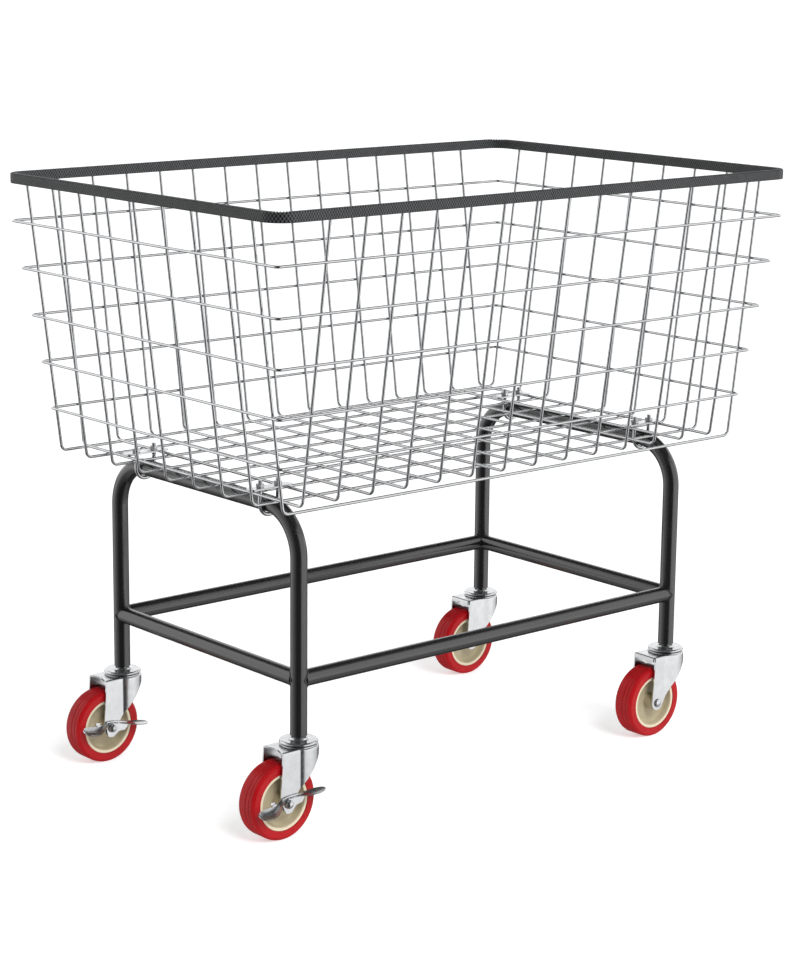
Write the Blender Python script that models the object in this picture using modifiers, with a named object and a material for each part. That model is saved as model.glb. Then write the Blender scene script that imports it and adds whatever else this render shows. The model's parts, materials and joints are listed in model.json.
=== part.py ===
"""Wire laundry cart: a tapered wire basket on a welded tube frame with four swivel casters.

The origin is the centre of the footprint on the floor. +X runs along the cart's length,
+Y towards its back and +Z up. All sizes are in metres.
"""

import math

import bmesh
import bpy
from mathutils import Matrix, Vector

# ---------------------------------------------------------------- driving dimensions
GAP = 0.0003  # clearance between neighbouring solids

# tube frame: two inverted-U end frames joined by two long stretchers
TUBE_R = 0.011
TUBE_WALL = 0.0015
LEG_X = 0.337
LEG_Y = 0.197
LEG_BOTTOM_Z = 0.129
STRETCHER_Z = 0.203
TUBE_BEND_R = 0.062
VENT_R = 0.003
COPE_R = 0.0118  # clears the corners of a faceted tube

# wire basket
WIRE_R = 0.002
RING_R = 0.0018
WIRE_BEND_R = 0.009
RING_BEND_R = 0.006
FLOOR_Z = 0.4345  # centre line of the long wires under the floor
FLOOR_HALF_X = 0.399
FLOOR_HALF_Y = 0.244
SHORT_FLOOR_HALF_Y = 0.240
SHORT_WIRE_SPAN = 0.366  # from the middle to the outermost short wire
LONG_WIRES = 9
SHORT_WIRES = 14
RINGS = 5
RING_TOP_Z = 0.7465
RING_PITCH = 0.06325

# rim: a closed rod under a channel-shaped trim
RIM_HALF_X = 0.446
RIM_HALF_Y = 0.293
RIM_CORNER_R = 0.025
RIM_ROD_R = 0.003
RIM_TOP_Z = 0.8113
TRIM_WIDTH = 0.010
TRIM_HEIGHT = 0.0135
TRIM_WALL = 0.0016

# U-bolts that clamp the basket floor to the end frames
BOLT_Y = 0.136
BOLT_ROD_R = 0.003
BOLT_TOP_Z = 0.453
CLAMP_LENGTH = 0.066
CLAMP_WIDTH = 0.016
CLAMP_THICKNESS = 0.0025
NUT_R = 0.0058
NUT_HEIGHT = 0.005

# swivel casters, measured from the swivel axis; each trails towards -X
TRAIL = 0.0355
WHEEL_R = 0.0508
WHEEL_WIDTH = 0.032
TYRE_BORE_R = 0.0383
HUB_R = TYRE_BORE_R - GAP
HUB_BORE_R = 0.0051
FORK_HALF_WIDTH = 0.0215
FORK_WALL = 0.0025
FORK_NOSE_R = 0.026
FORK_TOP_Z = 0.1185
FORK_TAIL_X = -0.041
FORK_FOOT_R = 0.0105
RACE_TOP_Z = 0.1200
DISH_RIM_Z = 0.1214
AXLE_R = 0.00475
AXLE_HOLE_R = 0.00515
KINGPIN_R = 0.0057
KINGPIN_HOLE_R = 0.0062
STEM_R = 0.0088  # inside the flats of the leg's faceted bore

# brake levers on the two left-hand casters: one is released and the other pressed
LEVER_THICKNESS = 0.0025
LEVER_TILT = {"back_left": 6.0, "front_left": -4.0}  # degrees about +Y: the tail end up
PEDAL_RISE = 12.0  # degrees, the outer edge up

# facets around round pieces
WHEEL_STEPS = 24
RACE_STEPS = 16
AXLE_STEPS = 12

# ---------------------------------------------------------------- derived places
CROSS_TUBE_Z = FLOOR_Z - WIRE_R - GAP - TUBE_R
SHORT_FLOOR_Z = FLOOR_Z + 2 * WIRE_R + GAP
RIM_ROD_Z = RIM_TOP_Z - TRIM_WALL - GAP - RIM_ROD_R
WIRE_TOP_Z = RIM_ROD_Z - RIM_ROD_R - GAP
CORNERS = {
    "front_left": (-LEG_X, -LEG_Y),
    "front_right": (LEG_X, -LEG_Y),
    "back_left": (-LEG_X, LEG_Y),
    "back_right": (LEG_X, LEG_Y),
}


# ---------------------------------------------------------------- scene helpers
def clear_scene():
    for obj in list(bpy.data.objects):
        bpy.data.objects.remove(obj, do_unlink=True)


def new_collection(name):
    collection = bpy.data.collections.new(name)
    bpy.context.scene.collection.children.link(collection)
    return collection


def make_material(name, colour, metallic, roughness):
    material = bpy.data.materials.new(name)
    material.use_nodes = True
    shader = material.node_tree.nodes["Principled BSDF"]
    shader.inputs["Base Color"].default_value = (*colour, 1.0)
    shader.inputs["Metallic"].default_value = metallic
    shader.inputs["Roughness"].default_value = roughness
    return material


def make_materials():
    return {
        "powder_coat": make_material("powder_coat", (0.03, 0.03, 0.03), 0.0, 0.4),
        "wire": make_material("wire", (0.75, 0.76, 0.77), 1.0, 0.22),
        "trim": make_material("trim", (0.035, 0.037, 0.037), 0.0, 0.55),
        "zinc": make_material("zinc", (0.72, 0.73, 0.74), 1.0, 0.3),
        "tyre": make_material("tyre", (0.55, 0.03, 0.035), 0.0, 0.35),
        "hub": make_material("hub", (0.52, 0.46, 0.31), 0.0, 0.45),
    }


def add_mesh(name, mesh, collection, material=None):
    obj = bpy.data.objects.new(name, mesh)
    collection.objects.link(obj)
    if material and not mesh.materials:
        mesh.materials.append(material)
    return obj


def evaluated_mesh(obj):
    """The object's mesh in world space with its modifiers applied and its seams welded."""
    graph = bpy.context.evaluated_depsgraph_get()
    mesh = bpy.data.meshes.new_from_object(obj.evaluated_get(graph))
    mesh.transform(obj.matrix_world)
    edit = bmesh.new()
    edit.from_mesh(mesh)
    bmesh.ops.remove_doubles(edit, verts=edit.verts, dist=1e-6)
    edit.to_mesh(mesh)
    edit.free()
    return mesh


def take_mesh(obj):
    """Turns a construction object into a plain mesh and removes the object."""
    bpy.context.view_layer.update()
    mesh = evaluated_mesh(obj)
    bpy.data.objects.remove(obj, do_unlink=True)
    return mesh


def smooth(mesh, degrees=40):
    mesh.shade_smooth()
    mesh.set_sharp_from_angle(angle=math.radians(degrees))


# ---------------------------------------------------------------- shape helpers
def rounded(points, radius, steps, cyclic=False):
    """A polyline with each of its corners replaced by an arc of the given radius."""
    points = [Vector(p) for p in points]
    count = len(points)
    path = []
    for i, corner in enumerate(points):
        if not cyclic and i in (0, count - 1):
            path.append(corner)
            continue
        to_last = (points[i - 1] - corner).normalized()
        to_next = (points[(i + 1) % count] - corner).normalized()
        half = to_last.angle(to_next) / 2
        centre = corner + (to_last + to_next).normalized() * (radius / math.sin(half))
        start = corner + to_last * (radius / math.tan(half)) - centre
        end = corner + to_next * (radius / math.tan(half)) - centre
        path += [centre + start.slerp(end, k / steps).normalized() * radius for k in range(steps + 1)]
    return path


def curve_object(name, paths, collection, cyclic, dimensions="3D"):
    curve = bpy.data.curves.new(name, "CURVE")
    curve.dimensions = dimensions
    for path in paths:
        spline = curve.splines.new("POLY")
        spline.points.add(len(path) - 1)
        for point, place in zip(spline.points, path):
            point.co = (*place, 1.0) if len(place) == 3 else (*place, 0.0, 1.0)
        spline.use_cyclic_u = cyclic
    obj = bpy.data.objects.new(name, curve)
    collection.objects.link(obj)
    return obj


def rod(name, path, radius, collection, material=None, cyclic=False, resolution=2):
    """A round bar along a path, with 4 + 2 * resolution sides."""
    obj = curve_object(name, [path], collection, cyclic)
    obj.data.bevel_depth = radius
    obj.data.bevel_resolution = resolution
    obj.data.use_fill_caps = True
    if material:
        obj.data.materials.append(material)
    return obj


def plate(name, outlines, thickness, collection):
    """A flat outline in the XY plane, centred on it, with any further outlines as holes."""
    obj = curve_object(name, outlines, collection, cyclic=True, dimensions="2D")
    obj.data.fill_mode = "BOTH"
    obj.data.extrude = thickness / 2
    return obj


def turned(name, profile, steps, collection):
    """A profile of (radius, height) points, top to bottom on the outer side, turned about Z."""
    mesh = bpy.data.meshes.new(name)
    points = [(r, 0.0, z) for r, z in profile]
    count = len(points)
    on_axis = profile[0][0] == 0 and profile[-1][0] == 0
    edges = [(i, i + 1) for i in range(count - 1)]
    if not on_axis:
        edges.append((count - 1, 0))
    mesh.from_pydata(points, edges, [])
    obj = add_mesh(name, mesh, collection)
    screw = obj.modifiers.new("turn", "SCREW")
    screw.axis = "Z"
    screw.steps = steps
    screw.render_steps = steps
    screw.use_merge_vertices = True
    screw.merge_threshold = 0.00001
    return obj


def cylinder(name, radius, length, steps, collection, axis="Z", centre=(0, 0, 0)):
    mesh = bpy.data.meshes.new(name)
    edit = bmesh.new()
    bmesh.ops.create_cone(
        edit, cap_ends=True, segments=steps, radius1=radius, radius2=radius, depth=length
    )
    edit.to_mesh(mesh)
    edit.free()
    turn = {
        "X": Matrix.Rotation(math.pi / 2, 4, "Y"),
        "Y": Matrix.Rotation(math.pi / 2, 4, "X"),
        "Z": Matrix.Identity(4),
    }
    mesh.transform(Matrix.Translation(centre) @ turn[axis])
    return add_mesh(name, mesh, collection)


def box(name, low, high, collection):
    mesh = bpy.data.meshes.new(name)
    edit = bmesh.new()
    bmesh.ops.create_cube(edit, size=1.0)
    edit.to_mesh(mesh)
    edit.free()
    size = Vector(high) - Vector(low)
    middle = (Vector(high) + Vector(low)) / 2
    mesh.transform(Matrix.Translation(middle) @ Matrix.Diagonal((*size, 1.0)))
    return add_mesh(name, mesh, collection)


def combine(base, steps):
    """Applies (operation, tool) Booleans to the base object in turn and removes the tools."""
    for operation, tool in steps:
        tool.hide_render = True
        tool.display_type = "WIRE"
        modifier = base.modifiers.new(operation.lower(), "BOOLEAN")
        modifier.operation = operation
        modifier.solver = "EXACT"
        modifier.object = tool
    mesh = take_mesh(base)
    for _, tool in steps:
        bpy.data.objects.remove(tool, do_unlink=True)
    return mesh


def as_mesh_object(obj, collection):
    """Replaces a curve by a mesh object, so that it can be cut or joined."""
    name = obj.name
    mesh = take_mesh(obj)
    return add_mesh(name, mesh, collection)


def dissolve_flat(mesh):
    """Merges coplanar faces that a Boolean left split."""
    edit = bmesh.new()
    edit.from_mesh(mesh)
    bmesh.ops.dissolve_limit(
        edit, angle_limit=math.radians(0.5), verts=edit.verts, edges=edit.edges
    )
    bmesh.ops.triangulate(edit, faces=[f for f in edit.faces if len(f.verts) > 4])
    edit.to_mesh(mesh)
    edit.free()


# ---------------------------------------------------------------- basket
def u_path(low_half, top_half, floor_z):
    """A U-shaped wire in its own plane, as (across, up) points from rim to rim."""
    corners = [
        (-top_half, WIRE_TOP_Z, 0),
        (-low_half, floor_z, 0),
        (low_half, floor_z, 0),
        (top_half, WIRE_TOP_Z, 0),
    ]
    return [(p.x, p.y) for p in rounded(corners, WIRE_BEND_R, 2)]


def build_long_wires(cart, material):
    """Wires that run down the left end, along the floor and up the right end."""
    path = u_path(FLOOR_HALF_X, RIM_HALF_X, FLOOR_Z)
    pitch = 2 * FLOOR_HALF_Y / (LONG_WIRES - 1)
    for i in range(LONG_WIRES):
        y = -FLOOR_HALF_Y + i * pitch
        rod(f"long_wire_{i + 1:02d}", [(u, y, z) for u, z in path], WIRE_R, cart, material)


def build_short_wires(cart, material):
    """Wires that run down the front, over the long wires and up the back."""
    path = u_path(SHORT_FLOOR_HALF_Y, RIM_HALF_Y, SHORT_FLOOR_Z)
    pitch = 2 * SHORT_WIRE_SPAN / (SHORT_WIRES - 1)
    for i in range(SHORT_WIRES):
        x = -SHORT_WIRE_SPAN + i * pitch
        rod(f"short_wire_{i + 1:02d}", [(x, u, z) for u, z in path], WIRE_R, cart, material)


def wall_half(low_half, top_half, low_z, z):
    """Half the basket's size between opposite wires at height z."""
    return low_half + (top_half - low_half) * (z - low_z) / (WIRE_TOP_Z - low_z)


def rectangle(half_x, half_y, z, radius, steps):
    corners = [
        (-half_x, -half_y, z),
        (half_x, -half_y, z),
        (half_x, half_y, z),
        (-half_x, half_y, z),
    ]
    return rounded(corners, radius, steps, cyclic=True)


def build_rings(cart, material):
    """Closed hoops welded round the outside of the upright wires."""
    outside = WIRE_R + RING_R + GAP
    for i in range(RINGS):
        z = RING_TOP_Z - i * RING_PITCH
        half_x = wall_half(FLOOR_HALF_X, RIM_HALF_X, FLOOR_Z, z) + outside
        half_y = wall_half(SHORT_FLOOR_HALF_Y, RIM_HALF_Y, SHORT_FLOOR_Z, z) + outside
        path = rectangle(half_x, half_y, z, RING_BEND_R, 2)
        rod(f"ring_wire_{i + 1}", path, RING_R, cart, material, cyclic=True)


def build_rim(cart, tools, materials):
    path = rectangle(RIM_HALF_X, RIM_HALF_Y, RIM_ROD_Z, RIM_CORNER_R, 5)
    rod("rim_rod", path, RIM_ROD_R, cart, materials["wire"], cyclic=True)

    half = TRIM_WIDTH / 2
    inner = half - TRIM_WALL
    channel = [
        (-half, -TRIM_HEIGHT),
        (-half, 0),
        (half, 0),
        (half, -TRIM_HEIGHT),
        (inner, -TRIM_HEIGHT),
        (inner, -TRIM_WALL),
        (-inner, -TRIM_WALL),
        (-inner, -TRIM_HEIGHT),
    ]
    section = curve_object("trim_section", [channel], tools, cyclic=True, dimensions="2D")
    top = rectangle(RIM_HALF_X, RIM_HALF_Y, RIM_TOP_Z, RIM_CORNER_R, 5)
    sweep = curve_object("trim_sweep", [top], tools, cyclic=True)
    sweep.data.twist_mode = "Z_UP"
    sweep.data.bevel_mode = "OBJECT"
    sweep.data.bevel_object = section
    mesh = take_mesh(sweep)
    bpy.data.objects.remove(section, do_unlink=True)
    add_mesh("rim_trim", mesh, cart, materials["trim"])


# ---------------------------------------------------------------- frame
def solid_rod(name, path, radius, collection, resolution=4):
    return as_mesh_object(rod(name, path, radius, collection, resolution=resolution), collection)


def inverted_u(x, low_z):
    corners = [
        (x, -LEG_Y, low_z),
        (x, -LEG_Y, CROSS_TUBE_Z),
        (x, LEG_Y, CROSS_TUBE_Z),
        (x, LEG_Y, low_z),
    ]
    return rounded(corners, TUBE_BEND_R, 6)


def build_end_frame(name, x, cart, tools, material):
    """An inverted-U tube with a cross stretcher welded between its legs, vented into them."""
    bore_r = TUBE_R - TUBE_WALL
    past = 0.004
    wall_face = LEG_Y - TUBE_R - GAP
    ends = [(x, -LEG_Y, STRETCHER_Z), (x, LEG_Y, STRETCHER_Z)]
    bore_ends = [(x, -wall_face, STRETCHER_Z), (x, wall_face, STRETCHER_Z)]
    mesh = combine(
        solid_rod("tube", inverted_u(x, LEG_BOTTOM_Z), TUBE_R, tools),
        [
            ("UNION", solid_rod("stretcher", ends, TUBE_R, tools)),
            ("DIFFERENCE", solid_rod("bore", inverted_u(x, LEG_BOTTOM_Z - past), bore_r, tools)),
            ("DIFFERENCE", solid_rod("stretcher_bore", bore_ends, bore_r, tools)),
            ("DIFFERENCE", solid_rod("vent", ends, VENT_R, tools, resolution=2)),
        ],
    )
    dissolve_flat(mesh)
    smooth(mesh)
    add_mesh(name, mesh, cart, material)


def build_long_stretcher(name, y, cart, tools, material):
    """A tube between the end frames, its ends coped to the legs and the cross stretchers."""
    ends = [(-LEG_X, y, STRETCHER_Z), (LEG_X, y, STRETCHER_Z)]
    cuts = [("DIFFERENCE", solid_rod("bore", ends, TUBE_R - TUBE_WALL, tools))]
    inward = y - math.copysign(0.04, y)
    for x in (-LEG_X, LEG_X):
        leg = [(x, y, STRETCHER_Z - 0.03), (x, y, STRETCHER_Z + 0.03)]
        cross = [(x, y, STRETCHER_Z), (x, inward, STRETCHER_Z)]
        cuts.append(("DIFFERENCE", solid_rod("leg", leg, COPE_R, tools)))
        cuts.append(("DIFFERENCE", solid_rod("cross", cross, COPE_R, tools)))
    mesh = combine(solid_rod("tube", ends, TUBE_R, tools), cuts)
    dissolve_flat(mesh)
    smooth(mesh)
    add_mesh(name, mesh, cart, material)


def build_u_bolt(name, x, y, cart, tools, material):
    """A U-bolt under the cross tube with its clamp plate and two nuts above the floor wires."""
    loop_r = TUBE_R + GAP + BOLT_ROD_R
    turns = 8
    angles = [math.pi + math.pi * k / turns for k in range(turns + 1)]
    bend = [
        (x + loop_r * math.cos(a), y, CROSS_TUBE_Z + loop_r * math.sin(a)) for a in angles
    ]
    path = [(x - loop_r, y, BOLT_TOP_Z), *bend, (x + loop_r, y, BOLT_TOP_Z)]
    plate_z = SHORT_FLOOR_Z + WIRE_R + GAP
    middle = x - math.copysign(LEG_X - clamp_middle(), x)
    clamp = box(
        "clamp",
        (middle - CLAMP_LENGTH / 2, y - CLAMP_WIDTH / 2, plate_z),
        (middle + CLAMP_LENGTH / 2, y + CLAMP_WIDTH / 2, plate_z + CLAMP_THICKNESS),
        tools,
    )
    nut_z = plate_z + CLAMP_THICKNESS + NUT_HEIGHT / 2 - GAP
    joins = [("UNION", clamp)]
    for side in (-loop_r, loop_r):
        nut = cylinder("nut", NUT_R, NUT_HEIGHT, 6, tools, centre=(x + side, y, nut_z))
        joins.append(("UNION", nut))
    mesh = combine(solid_rod("loop", path, BOLT_ROD_R, tools, resolution=2), joins)
    dissolve_flat(mesh)
    smooth(mesh)
    add_mesh(name, mesh, cart, material)


def clamp_middle():
    """How far from the middle of the cart a clamp plate lies, across two short wires."""
    pitch = 2 * SHORT_WIRE_SPAN / (SHORT_WIRES - 1)
    return SHORT_WIRE_SPAN - pitch / 2


# ---------------------------------------------------------------- casters
def tyre_mesh(tools):
    """A polyurethane tread with chamfered shoulders, turned about the axle (local Z)."""
    half = WHEEL_WIDTH / 2
    chamfer = 0.004
    profile = [
        (TYRE_BORE_R, half),
        (WHEEL_R - chamfer, half),
        (WHEEL_R, half - chamfer),
        (WHEEL_R, chamfer - half),
        (WHEEL_R - chamfer, -half),
        (TYRE_BORE_R, -half),
    ]
    return take_mesh(turned("tyre", profile, WHEEL_STEPS, tools))


def hub_mesh(tools):
    """A moulded wheel centre with a recessed web each side and a boss round the axle."""
    rim_half = WHEEL_WIDTH / 2 - 0.001
    lip_r = HUB_R - 0.0035
    web_half = 0.0045
    web_r = 0.031
    boss_r = 0.0115
    boss_half = FORK_HALF_WIDTH - FORK_WALL - GAP
    upper = [
        (HUB_BORE_R, boss_half),
        (boss_r - 0.0025, boss_half),
        (boss_r, web_half),
        (web_r, web_half),
        (lip_r, rim_half),
        (HUB_R, rim_half),
    ]
    lower = [(r, -z) for r, z in reversed(upper)]
    return take_mesh(turned("hub", upper + lower, WHEEL_STEPS, tools))


def axle_mesh(tools, reach, nut):
    """A headed axle along local Z: head at the far end, dome or nut at the near end (+Z)."""
    far = -FORK_HALF_WIDTH - GAP
    head_r = 0.0062
    near = reach + GAP
    tip = [(0, near + 0.0032), (0.0035, near + 0.0030), (head_r - 0.001, near + 0.0014)]
    if nut:
        tip = [(0, near + 0.0065), (0.0035, near + 0.0060), (head_r - 0.001, near + 0.0040)]
    profile = [
        *tip,
        (head_r, near + 0.0005),
        (head_r - 0.0002, near),
        (AXLE_R, near),
        (AXLE_R, far),
        (head_r - 0.0002, far),
        (head_r, far - 0.0005),
        (head_r - 0.001, far - 0.0018),
        (0.0035, far - 0.0028),
        (0, far - 0.0030),
    ]
    return take_mesh(turned("axle", profile, AXLE_STEPS, tools))


def stem_mesh(tools):
    """The stem pressed into the leg, the upper race dish and the kingpin, in one turned piece."""
    roof_under = FORK_TOP_Z - FORK_WALL
    dish_under = DISH_RIM_Z + 0.0008
    profile = [
        (0, 0.1760),
        (STEM_R - 0.001, 0.1760),
        (STEM_R, 0.1745),
        (STEM_R, 0.1296),
        (0.0076, 0.1288),
        (0.0076, DISH_RIM_Z + 0.0056),
        (0.0125, DISH_RIM_Z + 0.0050),
        (0.0205, DISH_RIM_Z + 0.0036),
        (0.0245, DISH_RIM_Z + 0.0018),
        (0.0253, DISH_RIM_Z),
        (0.0238, DISH_RIM_Z),
        (0.0230, dish_under),
        (KINGPIN_R, dish_under),
        (KINGPIN_R, roof_under - GAP),
        (0.0092, roof_under - GAP),
        (0.0092, roof_under - 0.0030),
        (0.0060, roof_under - 0.0045),
        (0, roof_under - 0.0045),
    ]
    return take_mesh(turned("stem", profile, RACE_STEPS, tools))


def fork_plan(wall):
    """The fork's outline from above at a depth inside its outer face: sides and a round nose."""
    half = FORK_HALF_WIDTH - wall
    nose = FORK_NOSE_R - wall
    shoulder = math.asin(half / nose)
    turns = 12
    start = math.pi - shoulder
    arc = [start - 2 * start * k / turns for k in range(turns + 1)]
    return [(nose * math.cos(a), nose * math.sin(a)) for a in arc]


def fork_side():
    """The fork's outline from the side, as (x, z): tail edge, foot round the axle, curved nose."""
    turns = 6
    start, end = math.radians(176), math.radians(322)
    arc = [start + (end - start) * k / turns for k in range(turns + 1)]
    foot = [(FORK_FOOT_R * math.cos(a) - TRAIL, FORK_FOOT_R * math.sin(a) + WHEEL_R) for a in arc]
    nose = [(-0.0180, 0.0620), (0.0010, 0.0850), (0.0120, 0.0990), (0.0190, 0.1065), (0.04, 0.1075)]
    top = FORK_TOP_Z + 0.01
    return [(FORK_TAIL_X, top), (FORK_TAIL_X, FORK_TOP_Z - 0.002), *foot, *nose, (0.04, top)]


def fork_mesh(tools):
    """A stamped yoke: top plate, horseshoe skirt that becomes two legs, and the lower race."""
    tail = -0.06
    outer = fork_plan(0)
    inner = fork_plan(FORK_WALL)
    half_in = FORK_HALF_WIDTH - FORK_WALL
    skirt = [
        (tail, FORK_HALF_WIDTH),
        *outer,
        (tail, -FORK_HALF_WIDTH),
        (tail, -half_in),
        *reversed(inner),
        (tail, half_in),
    ]
    low_z = WHEEL_R - FORK_FOOT_R - 0.002
    height = FORK_TOP_Z - low_z
    walls = as_mesh_object(plate("skirt", [skirt], height, tools), tools)
    walls.data.transform(Matrix.Translation((0, 0, low_z + height / 2)))

    side = as_mesh_object(plate("side", [fork_side()], 0.08, tools), tools)
    side.data.transform(Matrix.Rotation(math.pi / 2, 4, "X"))

    roof_outline = [(FORK_TAIL_X, FORK_HALF_WIDTH), *outer, (FORK_TAIL_X, -FORK_HALF_WIDTH)]
    roof = as_mesh_object(plate("roof", [roof_outline], FORK_WALL, tools), tools)
    roof.data.transform(Matrix.Translation((0, 0, FORK_TOP_Z - FORK_WALL / 2)))

    sunk = FORK_TOP_Z - 0.001
    race_profile = [(0.0185, RACE_TOP_Z), (0.0232, RACE_TOP_Z), (0.0240, sunk), (0.0172, sunk)]
    race = turned("race", race_profile, RACE_STEPS, tools)
    axle_hole = cylinder(
        "axle_hole", AXLE_HOLE_R, 0.08, AXLE_STEPS, tools, "Y", (-TRAIL, 0, WHEEL_R)
    )
    kingpin_hole = cylinder(
        "kingpin_hole", KINGPIN_HOLE_R, 0.02, RACE_STEPS, tools, "Z", (0, 0, FORK_TOP_Z)
    )
    mesh = combine(
        walls,
        [
            ("INTERSECT", side),
            ("UNION", roof),
            ("UNION", race),
            ("DIFFERENCE", kingpin_hole),
            ("DIFFERENCE", axle_hole),
        ],
    )
    dissolve_flat(mesh)
    return mesh


def lever_outline():
    """The brake lever's side view about its pivot, as (x, z): crown, toe arm, tab, tail arm."""
    return [
        (-0.0130, 0.0064),
        (-0.0077, 0.0107),
        (0.0000, 0.0118),
        (0.0070, 0.0112),
        (0.0125, 0.0092),
        (0.0260, 0.0046),
        (0.0540, 0.0026),
        (0.0540, -0.0020),
        (0.0430, -0.0044),
        (0.0280, -0.0084),
        (0.0133, -0.0081),
        (0.0030, -0.0153),
        (-0.0040, -0.0150),
        (-0.0147, -0.0088),
        (-0.0287, -0.0073),
        (-0.0307, -0.0035),
        (-0.0427, -0.0030),
        (-0.0485, 0.0020),
        (-0.0450, 0.0070),
        (-0.0390, 0.0043),
        (-0.0160, 0.0020),
    ]


# the pedals' outlines from above, as (x, y) about the pivot
TAIL_PEDAL = [
    (-0.0470, 0.0),
    (-0.0495, -0.0060),
    (-0.0450, -0.0150),
    (-0.0280, -0.0165),
    (-0.0170, -0.0080),
    (-0.0160, 0.0),
]
TOE_PEDAL = [
    (0.0300, 0.0),
    (0.0320, -0.0100),
    (0.0400, -0.0165),
    (0.0490, -0.0165),
    (0.0570, -0.0090),
    (0.0560, 0.0),
]


def lever_mesh(tools, tilt):
    """A stamped rocker about local Y = 0 with a pedal folded outward at each end."""
    face = as_mesh_object(plate("lever", [lever_outline()], LEVER_THICKNESS, tools), tools)
    face.data.transform(Matrix.Rotation(math.pi / 2, 4, "X"))
    steps = []
    for outline, z in ((TAIL_PEDAL, -0.0006), (TOE_PEDAL, 0.0003)):
        pedal = as_mesh_object(plate("pedal", [outline], 0.0021, tools), tools)
        rise = Matrix.Rotation(math.radians(-PEDAL_RISE), 4, "X")
        pedal.data.transform(Matrix.Translation((0, 0, z)) @ rise)
        steps.append(("UNION", pedal))
    hole = cylinder("pivot", AXLE_HOLE_R, 0.02, AXLE_STEPS, tools, "Y")
    mesh = combine(face, [*steps, ("DIFFERENCE", hole)])
    dissolve_flat(mesh)
    mesh.transform(Matrix.Rotation(math.radians(tilt), 4, "Y"))
    return mesh


def empty(name, place, collection, parent=None):
    obj = bpy.data.objects.new(name, None)
    obj.empty_display_size = 0.02
    obj.parent = parent
    obj.location = place
    collection.objects.link(obj)
    return obj


def child(name, mesh, parent, collection, material):
    obj = add_mesh(name, mesh, collection, material)
    obj.parent = parent
    return obj


def build_casters(cart, tools, materials):
    """Four casters that share their meshes; the two left-hand ones carry brake levers."""
    tyre = tyre_mesh(tools)
    hub = hub_mesh(tools)
    stem = stem_mesh(tools)
    fork = fork_mesh(tools)
    plain_axle = axle_mesh(tools, FORK_HALF_WIDTH, nut=False)
    lever_reach = FORK_HALF_WIDTH + GAP + LEVER_THICKNESS
    brake_axle = axle_mesh(tools, lever_reach, nut=True)
    for mesh in (tyre, hub, stem, fork, plain_axle, brake_axle):
        smooth(mesh)
    facing = Matrix.Rotation(math.pi / 2, 4, "X")  # local +Z to the front (-Y)
    for mesh in (tyre, hub, plain_axle, brake_axle):
        mesh.transform(facing)

    zinc = materials["zinc"]
    for corner, (x, y) in CORNERS.items():
        swivel = empty(f"pivot_swivel_{corner}", (x, y, 0), cart)
        axis = empty(f"pivot_wheel_{corner}", (-TRAIL, 0, WHEEL_R), cart, swivel)
        child(f"caster_stem_{corner}", stem, swivel, cart, zinc)
        child(f"caster_fork_{corner}", fork, swivel, cart, zinc)
        child(f"caster_tyre_{corner}", tyre, axis, cart, materials["tyre"])
        child(f"caster_hub_{corner}", hub, axis, cart, materials["hub"])
        braked = corner in LEVER_TILT
        child(f"caster_axle_{corner}", brake_axle if braked else plain_axle, axis, cart, zinc)
        if braked:
            lever = lever_mesh(tools, LEVER_TILT[corner])
            lever_y = -FORK_HALF_WIDTH - GAP - LEVER_THICKNESS / 2
            lever.transform(Matrix.Translation((0, lever_y, 0)))
            child(f"brake_lever_{corner}", lever, axis, cart, zinc)


# ---------------------------------------------------------------- assembly
def main():
    clear_scene()
    cart = new_collection("laundry_cart")
    tools = new_collection("construction")
    materials = make_materials()

    build_long_wires(cart, materials["wire"])
    build_short_wires(cart, materials["wire"])
    build_rings(cart, materials["wire"])
    build_rim(cart, tools, materials)

    coat = materials["powder_coat"]
    build_end_frame("left_end_frame", -LEG_X, cart, tools, coat)
    build_end_frame("right_end_frame", LEG_X, cart, tools, coat)
    build_long_stretcher("front_stretcher", -LEG_Y, cart, tools, coat)
    build_long_stretcher("back_stretcher", LEG_Y, cart, tools, coat)
    for corner, (x, y) in CORNERS.items():
        bolt_y = math.copysign(BOLT_Y, y)
        build_u_bolt(f"u_bolt_{corner}", x, bolt_y, cart, tools, materials["zinc"])
    build_casters(cart, tools, materials)


main()
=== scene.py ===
"""The looks of the wire laundry cart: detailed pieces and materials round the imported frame."""

import json
import math

import bmesh
import bpy
import numpy as np
from mathutils import Matrix, Vector


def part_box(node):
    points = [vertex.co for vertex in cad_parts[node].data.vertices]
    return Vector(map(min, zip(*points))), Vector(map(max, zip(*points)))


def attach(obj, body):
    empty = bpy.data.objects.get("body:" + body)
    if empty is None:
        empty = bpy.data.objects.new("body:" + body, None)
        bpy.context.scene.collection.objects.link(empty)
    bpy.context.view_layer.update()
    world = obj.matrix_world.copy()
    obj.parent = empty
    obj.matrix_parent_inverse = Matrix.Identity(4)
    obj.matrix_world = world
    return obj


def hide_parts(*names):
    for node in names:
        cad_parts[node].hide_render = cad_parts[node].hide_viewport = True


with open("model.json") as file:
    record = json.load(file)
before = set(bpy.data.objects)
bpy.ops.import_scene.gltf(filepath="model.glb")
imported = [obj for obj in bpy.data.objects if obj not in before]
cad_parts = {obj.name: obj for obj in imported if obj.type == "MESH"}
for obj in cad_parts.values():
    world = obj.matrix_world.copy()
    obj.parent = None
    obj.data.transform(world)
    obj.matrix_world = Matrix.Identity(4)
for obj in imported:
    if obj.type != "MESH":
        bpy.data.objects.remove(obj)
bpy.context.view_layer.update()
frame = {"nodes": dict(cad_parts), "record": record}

# ---------------------------------------------------------------- dimensions of the shapes, metres
# places come from the frame's boxes; these are the sizes of details within each piece
WIRE_SIDES = 14
WIRE_BEND_R = 0.009
RING_BEND_R = 0.006
RIM_CORNER_R = 0.025
FLOOR_HALF_X = 0.399
FLOOR_HALF_Y = 0.240
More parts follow.
